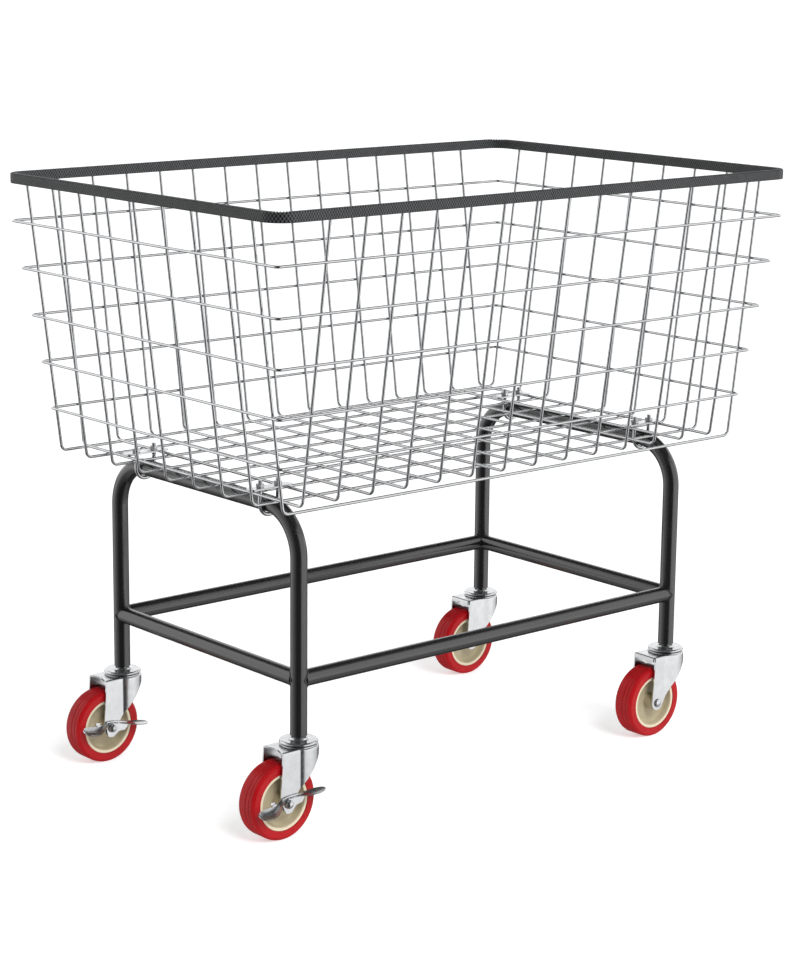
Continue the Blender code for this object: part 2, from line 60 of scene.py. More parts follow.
CROSSING_RISE = 0.0041  # from the long wires' underside up to where the short ones cross them
TRIM_WIDTH = 0.010
TRIM_WALL = 0.0016
TRIM_PITCH = 0.0040
STUD_DENT = 0.00024
EDGE_DENT_IN, EDGE_DENT_DOWN = 0.00030, 0.00055
TUBE_R = 0.011
TUBE_SIDES = 32
TUBE_WALL = 0.0015
TUBE_BEND_R = 0.062
BORE_DEPTH = 0.06
FORK_WALL = 0.0025
FORK_HALF_WIDTH = 0.0215
FORK_NOSE_R = 0.026
FORK_FOOT_R = 0.0105
FORK_TAIL_X = -0.0410
FORK_BEND = 0.0030
PLAN_STEP = 0.00025
KINGPIN_HOLE_R = 0.0062
RACE_RISE = 0.0015
AXLE_R = 0.00475
AXLE_HEAD_R = 0.0062
CORNERS = ("front_left", "front_right", "back_left", "back_right")
BRAKED = ("front_left", "back_left")

UP = Vector((0, 0, 1))


# ---------------------------------------------------------------- mesh helpers
class Shape:
    """Collects vertices, faces and one UV per vertex of a piece's separate shells."""

    def __init__(self):
        self.verts, self.faces, self.uvs = [], [], []

    def add(self, verts, faces, uvs=None):
        start = len(self.verts)
        self.verts += [tuple(v) for v in verts]
        self.faces += [tuple(start + i for i in face) for face in faces]
        self.uvs += list(uvs) if uvs else [(0.0, 0.0)] * len(verts)
        return self

    def grid(self, rows, close_rows=False, close_cols=False, caps=True, uvs=None):
        """Rows of equally many points, joined by quads; open ends of closed loops get caps."""
        count, width = len(rows), len(rows[0])
        verts = [p for row in rows for p in row]
        faces = []
        for r in range(count if close_rows else count - 1):
            for c in range(width if close_cols else width - 1):
                a, b = r * width + c, r * width + (c + 1) % width
                low = ((r + 1) % count) * width
                faces.append((a, b, low + (c + 1) % width, low + c))
        if caps and close_cols and not close_rows:
            faces.append(tuple(reversed(range(width))))
            faces.append(tuple(range((count - 1) * width, count * width)))
        return self.add(verts, faces, uvs)


def circle(radius, sides):
    step = 2 * math.pi / sides
    return [(radius * math.cos(k * step), radius * math.sin(k * step)) for k in range(sides)]


def fillet(points, radii, steps=5, closed=False):
    """Corners of a polyline replaced by arcs; radii is one number or one for each corner."""
    points = [Vector(p) for p in points]
    count = len(points)
    radii = [radii] * count if isinstance(radii, (int, float)) else radii
    path = []
    for i, corner in enumerate(points):
        if (not closed and i in (0, count - 1)) or radii[i] <= 0:
            path.append(corner)
            continue
        back = points[i - 1] - corner
        ahead = points[(i + 1) % count] - corner
        angle = back.angle(ahead)
        if angle > math.pi - 1e-3:
            path.append(corner)
            continue
        reach = min(radii[i] / math.tan(angle / 2), 0.49 * back.length, 0.49 * ahead.length)
        radius = reach * math.tan(angle / 2)
        back.normalize()
        ahead.normalize()
        centre = corner + (back + ahead).normalized() * (radius / math.sin(angle / 2))
        start = corner + back * reach - centre
        end = corner + ahead * reach - centre
        sweep = start.angle(end)
        for k in range(steps + 1):
            t = k / steps
            arm = start * math.sin((1 - t) * sweep) + end * math.sin(t * sweep)
            path.append(centre + arm / math.sin(sweep))
    return path


def sweep_rows(path, normal, section, closed=False):
    """A section of (in-plane, out-of-plane) points set square to each point of a flat path."""
    rows = []
    count = len(path)
    normal = Vector(normal)
    for i, point in enumerate(path):
        if closed:
            last, after = path[i - 1], path[(i + 1) % count]
        else:
            last, after = path[max(i - 1, 0)], path[min(i + 1, count - 1)]
        side = (after - last).normalized().cross(normal)
        to_last, to_next = (point - last), (after - point)
        stretch = 1.0
        if to_last.length > 1e-9 and to_next.length > 1e-9:
            stretch = 1 / max(math.cos(to_last.angle(to_next) / 2), 0.5)
        rows.append([point + side * (a * stretch) + normal * b for a, b in section])
    return rows


def lengths(path):
    """Distance along a path to each of its points."""
    total, out = 0.0, [0.0]
    for a, b in zip(path, path[1:]):
        total += (b - a).length
        out.append(total)
    return out


def resample(path, count):
    """The path's points again at count equal steps."""
    along = lengths(path)
    out, k = [], 0
    for i in range(count + 1):
        target = along[-1] * i / count
        while k < len(path) - 2 and along[k + 1] < target:
            k += 1
        part = (target - along[k]) / max(along[k + 1] - along[k], 1e-12)
        out.append(path[k].lerp(path[k + 1], min(part, 1.0)))
    return out


def tube(shape, path, radius, normal, sides=WIRE_SIDES, closed=False, round_end=0.0):
    """A solid round bar; its ends may get a small rounding."""
    path = [Vector(p) for p in path]
    rows = sweep_rows(path, normal, circle(radius, sides), closed)
    if round_end:
        steps = ((radius - round_end, 0.0), (radius - 0.3 * round_end, 0.3 * round_end),
                 (radius, round_end))
        rows = stepped_ends(rows, path, radius, steps)
    shape.grid(rows, close_rows=closed, close_cols=True)


def stepped_ends(rows, path, radius, steps):
    """Each end row becomes rows of other (radius, distance inwards), the outermost first."""
    ends = []
    for end, inside in ((0, 1), (-1, -2)):
        centre = path[end]
        inwards = (path[inside] - centre).normalized()
        ends.append([
            [centre + (p - centre) * (size / radius) + inwards * shift for p in rows[end]]
            for size, shift in steps
        ])
    return ends[0] + rows[1:-1] + ends[1][::-1]


def lathe(shape, profile, steps, place, axis="Z"):
    """A closed or axis-touching profile of (radius, height) points turned about an axis."""
    on_axis = abs(profile[0][0]) < 1e-9
    rows = []
    for k in range(steps):
        a = 2 * math.pi * k / steps
        rows.append([(r * math.cos(a), r * math.sin(a), h) for r, h in profile])
    turn = {"Z": Matrix.Identity(3), "Y": Matrix.Rotation(math.pi / 2, 3, "X")}[axis]
    place = Vector(place)
    rows = [[place + turn @ Vector(p) for p in row] for row in rows]
    if not on_axis:
        uvs = [tuple(p) for _ in range(steps) for p in profile]
        shape.grid(rows, close_rows=True, close_cols=True, caps=False, uvs=uvs)
        return
    width = len(profile)
    inner = [row[1:-1] for row in rows]
    verts = [rows[0][0], rows[0][-1]] + [p for row in inner for p in row]
    count = width - 2
    faces = []
    for k in range(steps):
        a, b = 2 + k * count, 2 + ((k + 1) % steps) * count
        faces.append((0, a, b))
        faces.append((a + count - 1, 1, b + count - 1))
        for c in range(count - 1):
            faces.append((a + c, a + c + 1, b + c + 1, b + c))
    shape.add(verts, faces)


def nugget(shape, centre, size):
    """A weld nugget: a small flattened ball, given by its three half-sizes."""
    rings, sides = 4, 8
    verts = [Vector((0, 0, 1)), Vector((0, 0, -1))]
    for i in range(1, rings):
        a = math.pi * i / rings
        for k in range(sides):
            b = 2 * math.pi * k / sides
            verts.append(Vector((math.sin(a) * math.cos(b), math.sin(a) * math.sin(b), math.cos(a))))
    faces = []
    for k in range(sides):
        n = (k + 1) % sides
        faces.append((0, 2 + k, 2 + n))
        last = 2 + (rings - 2) * sides
        faces.append((last + n, last + k, 1))
        for i in range(rings - 2):
            a = 2 + i * sides
            faces.append((a + k, a + sides + k, a + sides + n, a + n))
    scale = Matrix.Diagonal(size)
    shape.add([Vector(centre) + scale @ v for v in verts], faces)


def bead(shape, path, radius, ripple=0.12, pitch=0.0016, closed=False):
    """A rippled weld bead along any path."""
    path = [Vector(p) for p in path]
    sides = 8
    rows = []
    travelled = 0.0
    count = len(path)
    for i, point in enumerate(path):
        last = path[i - 1] if closed or i else point
        after = path[(i + 1) % count] if closed or i < count - 1 else point
        ahead = (after - last).normalized()
        side = ahead.orthogonal().normalized()
        if rows:
            side = (previous - ahead * previous.dot(ahead)).normalized()
        previous = side
        other = ahead.cross(side)
        travelled += (point - path[i - 1]).length if i else 0.0
        swell = radius * (1 + ripple * math.cos(2 * math.pi * travelled / pitch))
        rows.append([point + side * a + other * b for a, b in circle(swell, sides)])
    shape.grid(rows, close_rows=closed, close_cols=True)


def bevel_sharp(edit, width, limit):
    """Rounds the edges where faces turn by more than the limit, in degrees."""
    edges = [
        e for e in edit.edges
        if len(e.link_faces) == 2 and e.calc_face_angle() > math.radians(limit)
    ]
    bmesh.ops.bevel(
        edit, geom=edges, offset=width, offset_type="OFFSET", segments=2,
        profile=0.5, affect="EDGES", clamp_overlap=True,
    )


def make_mesh(name, shape, sharp=40.0, bevel=None):
    """A smooth mesh with sharp edges above an angle; bevel is (width, limit in degrees)."""
    mesh = bpy.data.meshes.new(name)
    mesh.from_pydata(shape.verts, [], shape.faces)
    layer = mesh.uv_layers.new(name="along")
    loop_verts = np.zeros(len(mesh.loops), np.int32)
    mesh.loops.foreach_get("vertex_index", loop_verts)
    layer.data.foreach_set("uv", np.array(shape.uvs, np.float32)[loop_verts].ravel())
    edit = bmesh.new()
    edit.from_mesh(mesh)
    bmesh.ops.recalc_face_normals(edit, faces=edit.faces)
    if bevel:
        bevel_sharp(edit, *bevel)
    edit.to_mesh(mesh)
    edit.free()
    mesh.shade_smooth()
    mesh.set_sharp_from_angle(angle=math.radians(sharp))
    return mesh


def piece(name, shape, material, node, slot, **options):
    """Makes the visible piece that stands for a CAD node and rides on that node's body."""
    mesh = make_mesh(name, shape, **options)
    mesh.materials.append(material)
    obj = bpy.data.objects.new(name, mesh)
    bpy.context.scene.collection.objects.link(obj)
    obj.modifiers.new("flat_faces", "WEIGHTED_NORMAL").keep_sharp = True
    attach(obj, BODY_OF[node])
    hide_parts(node)


BODY_OF = {
    n: body for body, members in frame["record"]["behaviour"]["bodies"].items() for n in members
}


def middle(node):
    low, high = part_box(node)
    return (low + high) / 2


# ---------------------------------------------------------------- materials
class Tree:
    """Short calls for the nodes of a tree."""

    def __init__(self, tree):
        self.tree = tree

    def new(self, kind, **settings):
        node = self.tree.nodes.new(kind)
        for key, value in settings.items():
            setattr(node, key, value)
        return node

    def feed(self, socket, value):
        """Gives a socket a number, a colour or another node's output."""
        if isinstance(value, (int, float)):
            socket.default_value = value
        elif isinstance(value, tuple):
            socket.default_value = (*value, 1.0)
        else:
            self.tree.links.new(value, socket)

    def math(self, operation, *values):
        node = self.new("ShaderNodeMath", operation=operation)
        for socket, value in zip(node.inputs, values):
            self.feed(socket, value)
        return node.outputs["Value"]

    def clamp(self, value):
        node = self.new("ShaderNodeClamp")
        self.feed(node.inputs["Value"], value)
        return node.outputs["Result"]

    def ramp(self, value, stops):
        """A colour ramp; stops are (position, grey or colour)."""
        node = self.new("ShaderNodeValToRGB")
        elements = node.color_ramp.elements
        while len(elements) < len(stops):
            elements.new(0.5)
        for element, (position, colour) in zip(elements, stops):
            element.position = position
            if isinstance(colour, (int, float)):
                colour = (colour, colour, colour)
            element.color = (*colour, 1.0)
        self.feed(node.inputs["Fac"], value)
        return node.outputs["Color"]


class Nodes(Tree):
    """A material with short calls for its nodes."""

    def __init__(self, name, **settings):
        self.material = bpy.data.materials.new(name)
        self.material.use_nodes = True
        super().__init__(self.material.node_tree)
        self.shader = self.tree.nodes["Principled BSDF"]
        for key, value in settings.items():
            self.shader.inputs[key.replace("_", " ")].default_value = value
        self.place = self.new("ShaderNodeTexCoord").outputs["Object"]

    def noise(self, scale, detail=2.0, rough=0.5):
        node = self.new("ShaderNodeTexNoise")
        node.inputs["Scale"].default_value = scale
        node.inputs["Detail"].default_value = detail
        node.inputs["Roughness"].default_value = rough
        self.feed(node.inputs["Vector"], self.place)
        return node.outputs["Fac"]

    def mottle(self, dark, light, scale, detail=3.0, rough=0.5):
        """Two close tones in soft patches."""
        return self.ramp(self.noise(scale, detail, rough), [(0.3, dark), (0.7, light)])

    def spread(self, value, low, high, start=0.3, end=0.7):
        """The range from start to end of a value, mapped to low to high."""
        node = self.new("ShaderNodeMapRange")
        node.inputs["From Min"].default_value = start
        node.inputs["From Max"].default_value = end
        node.inputs["To Min"].default_value = low
        node.inputs["To Max"].default_value = high
        self.feed(node.inputs["Value"], value)
        return node.outputs["Result"]

    def mix(self, factor, a, b):
        node = self.new("ShaderNodeMix", data_type="RGBA")
        sockets = {s.name: s for s in node.inputs if s.enabled}
        for key, value in (("Factor", factor), ("A", a), ("B", b)):
            self.feed(sockets[key], value)
        return next(s for s in node.outputs if s.enabled)

    def bump(self, height, strength, distance):
        node = self.new("ShaderNodeBump")
        node.inputs["Strength"].default_value = strength
        node.inputs["Distance"].default_value = distance
        self.feed(node.inputs["Height"], height)
        return node.outputs["Normal"]

    def along(self):
        """The two numbers of the piece's own map."""
        split = self.new("ShaderNodeSeparateXYZ")
        self.feed(split.inputs[0], self.new("ShaderNodeUVMap", uv_map="along").outputs["UV"])
        return split.outputs["X"], split.outputs["Y"]

    def out(self, colour, roughness, normal=None):
        for name, value in (("Base Color", colour), ("Roughness", roughness), ("Normal", normal)):
            if value is not None:
                self.feed(self.shader.inputs[name], value)
        return self.material


def powder_coat():
    n = Nodes("powder_coat", IOR=1.5, Specular_IOR_Level=1.0)
    colour = n.mottle((0.005, 0.005, 0.0054), (0.008, 0.008, 0.0085), 35.0)
    point = n.new("ShaderNodeNewGeometry").outputs["Pointiness"]
    worn = n.math("MULTIPLY", n.spread(point, 0.0, 1.0, 0.56, 0.75), 0.25)
    colour = n.mix(worn, colour, (0.05, 0.05, 0.05))
    rough = n.spread(n.noise(220.0), 0.20, 0.27)
    return n.out(colour, rough, n.bump(n.noise(500.0, 2.0, 0.4), 0.06, 0.0002))


def bright_wire():
    n = Nodes("bright_wire", Metallic=1.0)
    colour = n.mottle((0.50, 0.51, 0.52), (0.60, 0.61, 0.62), 60.0)
    rough = n.spread(n.noise(400.0, 3.0), 0.14, 0.22)
    return n.out(colour, rough, n.bump(n.noise(900.0), 0.03, 0.0001))


def zinc_plate():
    n = Nodes("zinc_plate", Metallic=1.0)
    colour = n.mottle((0.55, 0.56, 0.57), (0.63, 0.64, 0.65), 45.0, 4.0, 0.6)
    rough = n.spread(n.noise(120.0, 3.0), 0.20, 0.28)
    return n.out(colour, rough, n.bump(n.noise(90.0), 0.02, 0.0004))


def trim_rubber():
    """Knurled rubber with painted shade in its dents: its map counts ribs along the strip and rows
    down its sides.
    """
    n = Nodes("trim_rubber", IOR=1.5, Specular_IOR_Level=0.3)
    rib, row = n.along()
    ribs = n.math("COSINE", n.math("MULTIPLY", rib, 2 * math.pi))
    rows = n.math("COSINE", n.math("MULTIPLY", row, math.pi))
    # 1 on the knurl's crowns and 0 where its dents are deepest, where the colour gets painted shade
    outside_pit_shade = n.spread(n.math("MULTIPLY", ribs, rows), 1.0, 0.0, -0.35, 0.35)
    colour = n.mottle((0.080, 0.084, 0.088), (0.104, 0.108, 0.113), 90.0)
    # painted shade: the knurl's dents painted near-black
    colour = n.mix(n.math("MULTIPLY", outside_pit_shade, 0.92), (0.004, 0.004, 0.004), colour)
    rough = n.spread(n.noise(300.0, 3.0), 0.34, 0.46)
    return n.out(colour, rough, n.bump(n.noise(900.0, 3.0), 0.15, 0.0003))


def red_tyre():
    n = Nodes("red_tyre", IOR=1.5, Specular_IOR_Level=0.16)
    colour = n.mottle((0.33, 0.005, 0.008), (0.40, 0.008, 0.011), 30.0)
    rough = n.spread(n.noise(200.0, 3.0), 0.26, 0.36)
    return n.out(colour, rough, n.bump(n.noise(300.0), 0.04, 0.0002))


def tan_hub():
    """Moulded hub of one tan plastic: the lip painted paler as painted light, the web tan, the inner
    recess painted darker as painted shade; its map holds the radius.
    """
    n = Nodes("tan_hub", IOR=1.46)
    colour = n.mottle((0.42, 0.36, 0.235), (0.49, 0.43, 0.295), 40.0)
    radius, _ = n.along()
    # painted light: the outer lip painted paler than the web, as if in full light
    colour = n.mix(n.spread(radius, 0.0, 1.0, 0.0330, 0.0345), colour, (0.64, 0.56, 0.41))
    # painted shade: the inner recess towards the axle painted darker
    painted_recess_shade = n.math("MULTIPLY", n.spread(radius, 1.0, 0.0, 0.0260, 0.0320), 0.30)
    colour = n.mix(painted_recess_shade, colour, (0.26, 0.21, 0.12))
    rough = n.spread(n.noise(180.0, 3.0), 0.34, 0.48)
    return n.out(colour, rough, n.bump(n.noise(600.0), 0.12, 0.0003))


def studio_white():
    n = Nodes("studio_floor", Emission_Strength=0.53, Specular_IOR_Level=0.1,
              Emission_Color=(1.0, 1.0, 1.0, 1.0))
    colour = n.mottle((0.72, 0.72, 0.725), (0.74, 0.74, 0.74), 0.8, 2.0)
    return n.out(colour, n.spread(n.noise(3.0), 0.55, 0.65))


COAT = powder_coat()
WIRE = bright_wire()
ZINC = zinc_plate()
TRIM = trim_rubber()
TYRE = red_tyre()
HUB = tan_hub()


# ---------------------------------------------------------------- basket
def u_wire(node, axis, floor_half, welds=()):
    """A bright U-shaped wire in the plane across `axis`, with nuggets where it is welded."""
    low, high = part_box(node)
    radius = (high[axis] - low[axis]) / 2
    fixed = (low[axis] + high[axis]) / 2
    other = 1 - axis
    top_half = (high[other] - low[other]) / 2 - radius
    corners = [
        (-top_half, high.z), (-floor_half, low.z + radius),
        (floor_half, low.z + radius), (top_half, high.z),
    ]
    path = fillet(corners, WIRE_BEND_R, 8)
    place = (lambda u, z: (u, fixed, z)) if axis else (lambda u, z: (fixed, u, z))
    normal = (0, 1, 0) if axis else (1, 0, 0)
    shape = Shape()
    tube(shape, [place(p.x, p.y) for p in path], radius, normal, round_end=0.0004)
    for centre in welds:
        nugget(shape, centre, (0.0014, 0.0014, 0.0006))
    piece("basket_" + node, shape, WIRE, node, "wire")


def build_basket():
    longs = sorted(n for n in frame["nodes"] if n.startswith("long_wire"))
    shorts = sorted(n for n in frame["nodes"] if n.startswith("short_wire"))
    long_ys = [middle(n).y for n in longs]
    short_xs = [middle(n).x for n in shorts]
    for node in longs:
        u_wire(node, 1, FLOOR_HALF_X)
    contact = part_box(longs[0])[0].z + CROSSING_RISE
    for node, x in zip(shorts, short_xs):
        u_wire(node, 0, FLOOR_HALF_Y, [(x, y, contact) for y in long_ys[1:-1]])
    for i in range(1, 6):
        ring(f"ring_wire_{i}", long_ys, short_xs)


def ring(node, long_ys, short_xs):
    """A hoop round the upright wires, with a weld nugget at each of them."""
    low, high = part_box(node)
    radius = (high.z - low.z) / 2
    z = (low.z + high.z) / 2
    half_x, half_y = high.x - radius, high.y - radius
    shape = Shape()
    path = rectangle(half_x, half_y, z, RING_BEND_R, 8)
    tube(shape, path, radius, (0, 0, 1), closed=True)
    for y in long_ys:
        for s in (-1, 1):
            nugget(shape, (s * (half_x - radius), y, z), (0.0005, 0.0013, 0.0013))
    for x in short_xs:
        for s in (-1, 1):
            nugget(shape, (x, s * (half_y - radius), z), (0.0013, 0.0005, 0.0013))
    piece("basket_" + node, shape, WIRE, node, "wire")


def rectangle(half_x, half_y, z, radius, steps):
    corners = [(-half_x, -half_y, z), (half_x, -half_y, z), (half_x, half_y, z), (-half_x, half_y, z)]
    return fillet(corners, radius, steps, closed=True)


def build_rim():
    low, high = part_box("rim_rod")
    radius = (high.z - low.z) / 2
    shape = Shape()
    path = rectangle(high.x - radius, high.y - radius, (low.z + high.z) / 2, RIM_CORNER_R, 12)
    tube(shape, path, radius, (0, 0, 1), closed=True)
    piece("rim_hoop", shape, WIRE, "rim_rod", "wire")

    low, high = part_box("rim_trim")
    half, wall = TRIM_WIDTH / 2, TRIM_WALL
    height = high.z - low.z
    loop = rectangle(high.x - half, high.y - half, high.z, RIM_CORNER_R, 16)
    loop.append(loop[0])
    total = lengths(loop)[-1]
    path = resample(loop, round(total / (TRIM_PITCH / 5)))[:-1]
    inner = half - wall
    downs = [0.0016 + (height - 0.0022) * k / 7 for k in range(8)]
    rows_down = [k / 2 for k in range(8)]
    down_map = [3.5, *reversed(rows_down), 0, 0, 0, 0, *rows_down, 3.5, 3.5, 3.5, 3.5, 3.5]
    left = [(-half, -d) for d in reversed(downs)]
    right = [(half, -d) for d in downs]
    outline = [
        (-half + 0.0004, -height), *left, (-half + 0.0008, -0.0004), (-half + 0.0024, 0.0),
        (half - 0.0024, 0.0), (half - 0.0008, -0.0004), *right, (half - 0.0004, -height),
        (inner, -height), (inner, -wall), (-inner, -wall), (-inner, -height),
    ]
    rows = []
    count = len(path)
    periods = round(total / TRIM_PITCH)
    for i, point in enumerate(path):
        wave = math.cos(2 * math.pi * periods * i / count)
        last, after = path[i - 1], path[(i + 1) % count]
        side = (after - last).normalized().cross(UP)
        row = []
        for k, (a, b) in enumerate(outline):
            if abs(abs(a) - half) < 1e-6:
                stagger = wave * math.cos(math.pi * down_map[k])
                a -= math.copysign(STUD_DENT * (1 + stagger), a)
            elif 9 <= k <= 12:
                a -= math.copysign(EDGE_DENT_IN * (1 + wave), a)
                b -= EDGE_DENT_DOWN * (1 + wave)
            row.append(point + side * a + UP * b)
        rows.append(row)
    shape = Shape()
    uvs = [(periods * i / count, v) for i in range(count) for v in down_map]
    shape.grid(rows, close_rows=True, close_cols=True, uvs=uvs)
    piece("rim_trim_band", shape, TRIM, "rim_trim", "trim", sharp=50)


# ---------------------------------------------------------------- frame
def saddle_weld(shape, centre, along):
    """A bead where a tube leaving along `along` meets an equal upright tube."""
    along = Vector(along)
    third = along.cross(UP)
    steps = 48
    path = []
    for k in range(steps):
        a = 2 * math.pi * k / steps
        side, up = TUBE_R * math.cos(a), TUBE_R * math.sin(a)
        out = math.sqrt(max(TUBE_R**2 - side**2, 0.0)) + 0.0003
        path.append(Vector(centre) + third * side + UP * up + along * out)
    bead(shape, path, 0.0011, closed=True)


def open_tube(shape, path, normal):
    """A frame tube whose two ends are open: the bore is seen to a small depth."""
    edge, bore = 0.0004, TUBE_R - TUBE_WALL
    rows = sweep_rows(path, normal, circle(TUBE_R, TUBE_SIDES))
    steps = ((bore, BORE_DEPTH), (bore, edge), (bore + edge, 0.0), (TUBE_R - edge, 0.0),
             (TUBE_R, edge))
    shape.grid(stepped_ends(rows, path, TUBE_R, steps), close_cols=True)


def build_frames():
    leg_x = middle("right_end_frame").x
    inset = TUBE_R * 0.6
    for side in ("left", "right"):
        node = f"{side}_end_frame"
        low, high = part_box(node)
        x = (low.x + high.x) / 2
        leg_y, top = high.y - TUBE_R, high.z - TUBE_R
        z = middle("front_stretcher").z
        shape = Shape()
        corners = [(x, -leg_y, low.z), (x, -leg_y, top), (x, leg_y, top), (x, leg_y, low.z)]
        open_tube(shape, fillet(corners, TUBE_BEND_R, 20), (1, 0, 0))
        ends = [(x, -leg_y + inset, z), (x, leg_y - inset, z)]
        tube(shape, ends, TUBE_R, (1, 0, 0), sides=TUBE_SIDES)
        for s in (-1, 1):
            saddle_weld(shape, (x, s * leg_y, z), (0, -s, 0))
            saddle_weld(shape, (x, s * leg_y, z), (-math.copysign(1, x), 0, 0))
        piece(f"{side}_end_tube", shape, COAT, node, "powder_coat", sharp=50)
    for side in ("front", "back"):
        node = f"{side}_stretcher"
        _, y, z = middle(node)
        shape = Shape()
        ends = [(-leg_x + inset, y, z), (leg_x - inset, y, z)]
        tube(shape, ends, TUBE_R, (0, 1, 0), sides=TUBE_SIDES)
        piece(f"{side}_long_tube", shape, COAT, node, "powder_coat", sharp=50)


def build_u_bolt(corner):
    node = f"u_bolt_{corner}"
    low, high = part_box(node)
    y = (low.y + high.y) / 2
    rod_r = 0.003
    tube_x = math.copysign(middle("right_end_frame").x, low.x)
    loop_r = TUBE_R + 0.0003 + rod_r
    tube_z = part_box("right_end_frame")[1].z - TUBE_R
    plate_low, plate_high = tube_z + 0.0199, tube_z + 0.0224
    shape = Shape()
    turns = 24
    bend = [
        (tube_x + loop_r * math.cos(math.pi + math.pi * k / turns), y,
         tube_z + loop_r * math.sin(math.pi + math.pi * k / turns))
        for k in range(turns + 1)
    ]
    thread = plate_low - 0.004
    path = [(tube_x - loop_r, y, high.z), *bend, (tube_x + loop_r, y, high.z)]
    tube(shape, path, rod_r - 0.0003, (0, 1, 0), sides=16, round_end=0.0005)
    for s in (-1, 1):
        ridge = []
        turns_up = int((high.z - 0.0008 - thread) / 0.001)
        for k in range(turns_up * 16):
            a = 2 * math.pi * k / 16
            ridge.append((
                tube_x + s * loop_r + (rod_r - 0.00035) * math.cos(a),
                y + (rod_r - 0.00035) * math.sin(a), thread + 0.001 * k / 16,
            ))
        bead(shape, ridge, 0.00036, ripple=0.0)
        hexagon_nut(shape, (tube_x + s * loop_r, y, plate_high), 0.0058, 0.005)
    outline = fillet(
        [(low.x, low.y), (high.x, low.y), (high.x, high.y), (low.x, high.y)], 0.004, 6, closed=True
    )
    shape.grid([[(p.x, p.y, z) for p in outline] for z in (plate_low, plate_high)], close_cols=True)
    piece(f"floor_u_bolt_{corner}", shape, ZINC, node, "zinc", sharp=35, bevel=(0.00035, 50))


def hexagon_nut(shape, place, radius, height):
    """A chamfered nut, solid where its rod passes."""
    x, y, z = place
    steps = 36
    rows = []
    levels = ((0.0, 0.90), (0.0005, 1.0), (height - 0.0005, 1.0), (height, 0.90))
    for dz, size in levels:
        row = []
        for k in range(steps):
            a = 2 * math.pi * k / steps
            flat = math.cos(math.pi / 6) / math.cos((a % (math.pi / 3)) - math.pi / 6)
            r = radius * min(flat, size)
            row.append((x + r * math.cos(a), y + r * math.sin(a), z + dz))
        rows.append(row)
    shape.grid(rows, close_cols=True)


# ---------------------------------------------------------------- casters
def chaikin(points):
    """A polyline with its corners cut three times; its ends stay."""
    for _ in range(3):
        out = [points[0]]
        for a, b in zip(points, points[1:]):
            out += [a.lerp(b, 0.25), a.lerp(b, 0.75)]
        out.append(points[-1])
        points = out
    return points


class ForkPlan:
    """Half the fork's outline from above, by the length from its nose to its tail."""

    def __init__(self, blend):
        shoulder = math.pi - math.asin(FORK_HALF_WIDTH / FORK_NOSE_R)
        arc = shoulder * FORK_NOSE_R
        tail = 0.0460 + FORK_NOSE_R * math.cos(shoulder) + 0.012
        count = int((arc + tail) / PLAN_STEP)
        self.along = [k * PLAN_STEP for k in range(count + 1)]
        angles = [math.pi / 2 + s / FORK_NOSE_R if s < arc else math.pi for s in self.along]
        width = int(blend / PLAN_STEP / 2)
        smooth = []
        for k in range(count + 1):
            window = angles[max(k - width, 0):k + width + 1]
            if k < width:
                window = window + [math.pi - a for a in angles[1:width - k + 1]]
            smooth.append(sum(window) / len(window))
        x, y = FORK_NOSE_R, 0.0
        self.points, self.normals = [], []
        for a, after in zip(smooth, smooth[1:] + smooth[-1:]):
            self.points.append(Vector((x, y)))
            self.normals.append(Vector((-math.sin(a), math.cos(a))))
            x += PLAN_STEP * math.cos((a + after) / 2)
            y += PLAN_STEP * math.sin((a + after) / 2)
        shift = FORK_HALF_WIDTH - self.points[-1].y
        for s, p in zip(self.along, self.points):
            p.y += shift * min(1.0, s / arc)

    def at(self, s, inset, z):
        """The place at length s and height z, moved in by inset."""
        s = min(max(s, 0.0), self.along[-1] - 1e-9)
        k = min(int(s / PLAN_STEP), len(self.along) - 2)
        part = (s - self.along[k]) / PLAN_STEP
        normal = self.normals[k].lerp(self.normals[k + 1], part).normalized()
        place = self.points[k].lerp(self.points[k + 1], part) + normal * inset
        return Vector((place.x, place.y, z))

    def length_at(self, x):
        for k, p in enumerate(self.points):
            if p.x <= x:
                return self.along[k]
        return self.along[-1]


# a side plate's front edge, from the nose down: (forwards, up)
FORK_FRONT = [
    (0.0260, 0.1069), (0.0190, 0.1065), (0.0120, 0.0990), (0.0010, 0.0850), (-0.0180, 0.0620),
]


def fork_edge(plan, wheel_z, trail):
    """A side plate's edge down to its foot and round it: (length on the plan, height)."""
    foot = []
    for k in range(25):
        a = math.radians(322 - (322 - 176) * k / 24)
        x, z = -trail + FORK_FOOT_R * math.cos(a), wheel_z + FORK_FOOT_R * math.sin(a)
        foot.append(Vector((x, z)))
    front = [Vector(p) for p in FORK_FRONT]
    edge = chaikin(front + [foot[0]])[:-1] + foot
    return [Vector((plan.length_at(p.x), p.y)) for p in edge]


